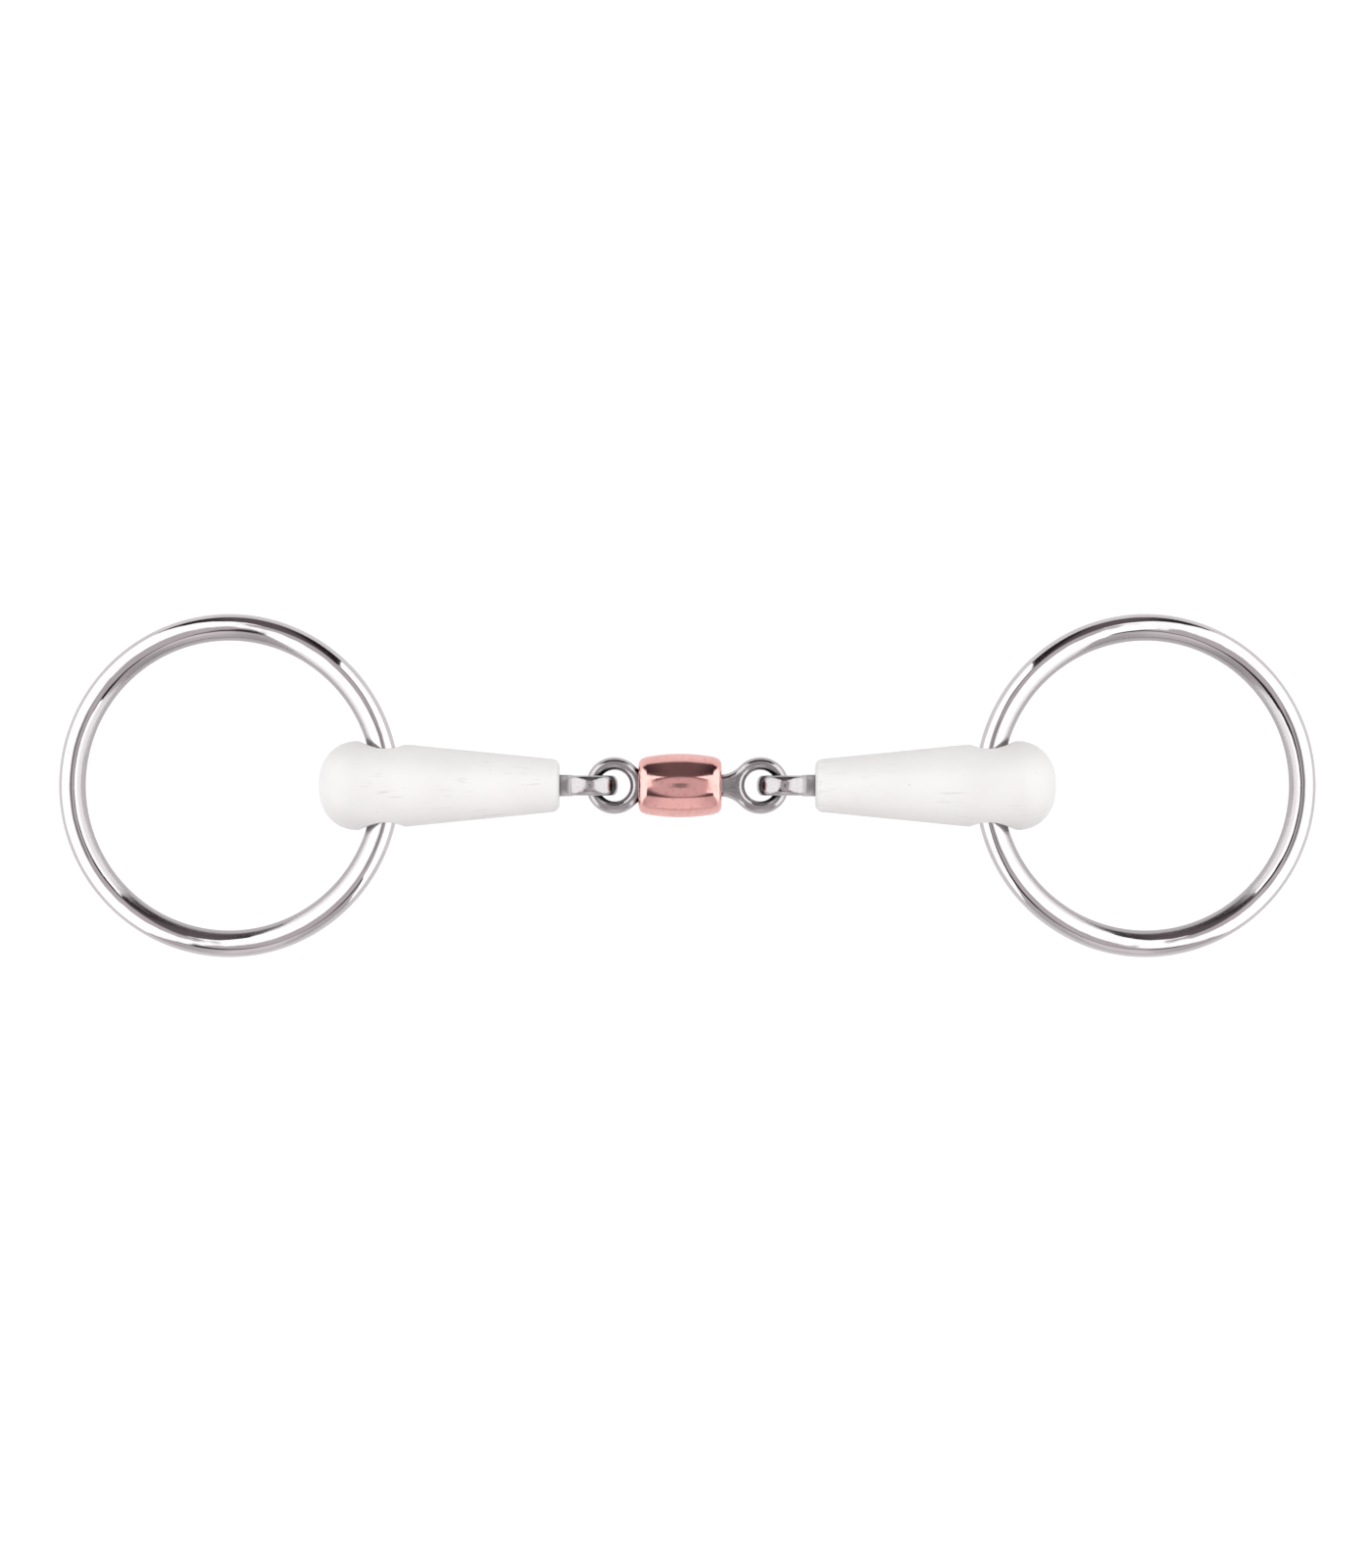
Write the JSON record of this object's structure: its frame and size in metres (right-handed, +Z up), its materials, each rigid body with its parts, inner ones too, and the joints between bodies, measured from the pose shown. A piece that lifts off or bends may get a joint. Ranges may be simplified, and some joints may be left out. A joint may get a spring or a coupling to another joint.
{
  "type": "snaffle bit",
  "caption": "Loose-ring snaffle bit: tapered white plastic cannons on steel cores, hinged to a centre link that carries a copper barrel roller, with a free round ring through each outer end.",
  "frame": {"origin": "middle of the centre link, which is the centre of the whole bit's bounding box", "axes": "+X along the mouthpiece towards the right-hand ring, +Y across it in the plane in which the bit lies, +Z up from the surface it lies on"},
  "size_m": [0.2758, 0.0754, 0.0196],
  "materials": {
    "ring_steel": "mirror polished stainless steel",
    "cast_steel": "cast stainless steel, satin to polished",
    "sleeve_plastic": "white moulded plastic, satin gloss with faint lengthwise scuffs",
    "roller_copper": "polished pink copper"
  },
  "bodies": {
    "centre_link": {"left_link_half": "cast_steel", "right_link_half": "cast_steel"},
    "roller": {"copper_roller": "roller_copper"},
    "left_cannon": {"left_sleeve": "sleeve_plastic", "left_core": "cast_steel"},
    "right_cannon": {"right_sleeve": "sleeve_plastic", "right_core": "cast_steel"},
    "left_loose_ring": {"left_ring": "ring_steel"},
    "right_loose_ring": {"right_ring": "ring_steel"}
  },
  "joints": [
    {"name": "left_cannon_fold", "type": "hinge", "parent": "centre_link", "child": "left_cannon", "pos_m": [-0.02082, 0, 0], "axis": [0, 1, 0], "range_deg": [-100, 100]},
    {"name": "right_cannon_fold", "type": "hinge", "parent": "centre_link", "child": "right_cannon", "pos_m": [0.02082, 0, 0], "axis": [0, -1, 0], "range_deg": [-100, 100]},
    {"name": "left_ring_swivel", "type": "hinge", "parent": "left_cannon", "child": "left_loose_ring", "pos_m": [-0.0667, 0, 0], "axis": [0, -1, 0], "range_deg": [-170, 160]},
    {"name": "right_ring_swivel", "type": "hinge", "parent": "right_cannon", "child": "right_loose_ring", "pos_m": [0.0667, 0, 0], "axis": [0, 1, 0], "range_deg": [-170, 160]},
    {"name": "roller_spin", "type": "hinge", "parent": "centre_link", "child": "roller", "pos_m": [0, 0, 0], "axis": [1, 0, 0], "continuous": true}
  ]
}
